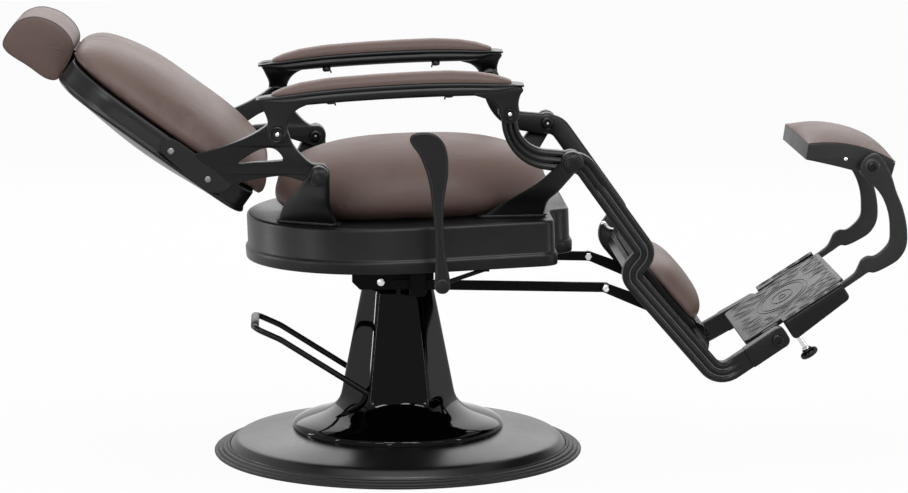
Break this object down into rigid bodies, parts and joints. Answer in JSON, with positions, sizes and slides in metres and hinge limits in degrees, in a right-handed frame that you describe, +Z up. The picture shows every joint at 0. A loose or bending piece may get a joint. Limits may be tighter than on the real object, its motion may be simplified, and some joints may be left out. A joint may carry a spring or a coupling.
{
  "type": "barber chair",
  "caption": "Reclining barber chair on a hydraulic pedestal, with a padded seat, back, headrest and armrests, and a linked leg rest with a footplate and heel rest.",
  "frame": {"origin": "middle of the base on the floor", "axes": "+X towards the chair's front, +Z up; the rest pose is fully reclined at the lowest seat height"},
  "size_m": [1.6178, 0.687, 0.8291],
  "materials": {
    "gloss_black": "high gloss black paint",
    "satin_black": "satin black paint",
    "cast_black": "satin black paint on castings",
    "ring_rubber": "matt black rubber",
    "grip_rubber": "light grey rubber sleeve",
    "bright_steel": "plain turned steel",
    "zinc_fasteners": "zinc-plated fasteners",
    "chrome_rod": "hard chrome",
    "bronze": "plain bearing bronze",
    "shell_plastic": "satin moulded plastic",
    "board": "plywood",
    "brown_leather": "smooth taupe-brown upholstery leather"
  },
  "bodies": {
    "base": {"base_plate": "satin_black", "base_trim": "ring_rubber", "column_cover": "gloss_black", "pump_cylinder": "bright_steel", "cylinder_gland": "bright_steel", "pump_bolts": "zinc_fasteners"},
    "pedal": {"pedal_loop": "satin_black", "pedal_grip": "grip_rubber"},
    "ram": {"ram": "chrome_rod", "thrust_washer": "bronze"},
    "seat": {"seat_support": "cast_black", "support_bolts": "zinc_fasteners", "seat_pan": "satin_black", "seat_rails": "satin_black", "seat_cushion": "brown_leather", "lug_screws": "zinc_fasteners", "rear_lugs": "cast_black", "front_lugs": "cast_black", "rear_pivot_pins": "cast_black", "front_pivot_pins": "cast_black", "guide_brackets": "satin_black", "lever_brace": "satin_black"},
    "lever": {"lock_lever": "gloss_black", "lock_shaft": "bright_steel"},
    "guides": {"lock_guides": "cast_black"},
    "struts": {"strut_bars": "satin_black", "strut_links": "satin_black", "knee_bolts": "zinc_fasteners"},
    "back": {"back_shell": "shell_plastic", "back_board": "board", "back_cushion": "brown_leather", "back_bracket_left": "cast_black", "back_bracket_right": "cast_black", "bracket_bolts": "cast_black", "headrest_socket": "shell_plastic", "arm_rear_pins": "cast_black"},
    "headrest": {"headrest_frame": "chrome_rod", "headrest_pad": "brown_leather"},
    "arm_left": {"arm_frame_left": "cast_black", "arm_pad_left": "brown_leather", "arm_screws_left": "zinc_fasteners"},
    "arm_right": {"arm_frame_right": "cast_black", "arm_pad_right": "brown_leather", "arm_screws_right": "zinc_fasteners"},
    "leg": {"leg_side_left": "cast_black", "leg_side_right": "cast_black", "cross_bars": "satin_black", "shin_panel": "satin_black", "shin_pad": "brown_leather", "arm_front_pins": "cast_black", "strut_pins": "bright_steel", "foot_bolts": "cast_black"},
    "foot": {"foot_plate": "cast_black", "foot_blocks": "cast_black"},
    "plunger": {"latch_plunger": "zinc_fasteners"},
    "heel": {"heel_frame": "cast_black", "heel_bolts": "zinc_fasteners"},
    "heel_pad": {"heel_tray": "cast_black", "heel_pad": "brown_leather"}
  },
  "joints": [
    {"name": "lift", "type": "slide", "parent": "base", "child": "ram", "axis": [0, 0, 1], "range_m": [0, 0.15]},
    {"name": "swivel", "type": "hinge", "parent": "ram", "child": "seat", "pos_m": [0, 0, 0.35], "axis": [0, 0, 1], "continuous": true},
    {"name": "pedal", "type": "hinge", "parent": "base", "child": "pedal", "pos_m": [0, 0, 0.083], "axis": [0, 1, 0], "range_deg": [-15, 0], "stiffness_Nm_per_rad": 20, "springref_deg": 20.05},
    {"name": "lock_lever", "type": "hinge", "parent": "seat", "child": "lever", "pos_m": [0.067, 0, 0.364], "axis": [0, 1, 0], "range_deg": [-20, 20], "stiffness_Nm_per_rad": 8},
    {"name": "recline", "type": "hinge", "parent": "seat", "child": "back", "pos_m": [-0.147, 0, 0.553], "axis": [0, 1, 0], "range_deg": [0, 36]},
    {"name": "leg_link", "type": "hinge", "parent": "seat", "child": "leg", "pos_m": [0.296, 0, 0.575], "axis": [0, 1, 0], "range_deg": [0, 29.8]},
    {"name": "arm_link_left", "type": "hinge", "parent": "back", "child": "arm_left", "pos_m": [-0.219, 0, 0.629], "axis": [0, 1, 0], "range_deg": [-38.2, 0]},
    {"name": "arm_link_right", "type": "hinge", "parent": "back", "child": "arm_right", "pos_m": [-0.219, 0, 0.629], "axis": [0, 1, 0], "range_deg": [-38.2, 0]},
    {"name": "strut_link", "type": "hinge", "parent": "leg", "child": "struts", "pos_m": [0.455, 0, 0.296], "axis": [0, 1, 0], "range_deg": [-19.7, 0]},
    {"name": "guide_swivel", "type": "hinge", "parent": "seat", "child": "guides", "pos_m": [0.03, 0, 0.3389], "axis": [0, 1, 0], "range_deg": [0, 10.2]},
    {"name": "headrest_slide", "type": "slide", "parent": "back", "child": "headrest", "axis": [-0.807, 0, 0.5906], "range_m": [0, 0.09]},
    {"name": "footrest", "type": "hinge", "parent": "leg", "child": "foot", "pos_m": [0.68, 0, 0.233], "axis": [0, 1, 0], "range_deg": [-25, 0]},
    {"name": "latch", "type": "slide", "parent": "foot", "child": "plunger", "axis": [0.5446, 0, -0.8387], "range_m": [0, 0.012], "stiffness_N_per_m": 800, "springref_m": -0.006},
    {"name": "heel_slide", "type": "slide", "parent": "foot", "child": "heel", "axis": [0.8387, 0, 0.5446], "range_m": [0, 0.05]},
    {"name": "heel_tilt", "type": "hinge", "parent": "heel", "child": "heel_pad", "pos_m": [0.85004, 0, 0.54493], "axis": [0, 1, 0], "range_deg": [-20, 10]}
  ],
  "couplings": [
    {"joint": "leg_link", "follows": "recline", "ratio": 0.824},
    {"joint": "arm_link_left", "follows": "recline", "ratio": -1.058},
    {"joint": "arm_link_right", "follows": "recline", "ratio": -1.058},
    {"joint": "strut_link", "follows": "recline", "ratio": -0.544},
    {"joint": "guide_swivel", "follows": "recline", "ratio": 0.28}
  ]
}
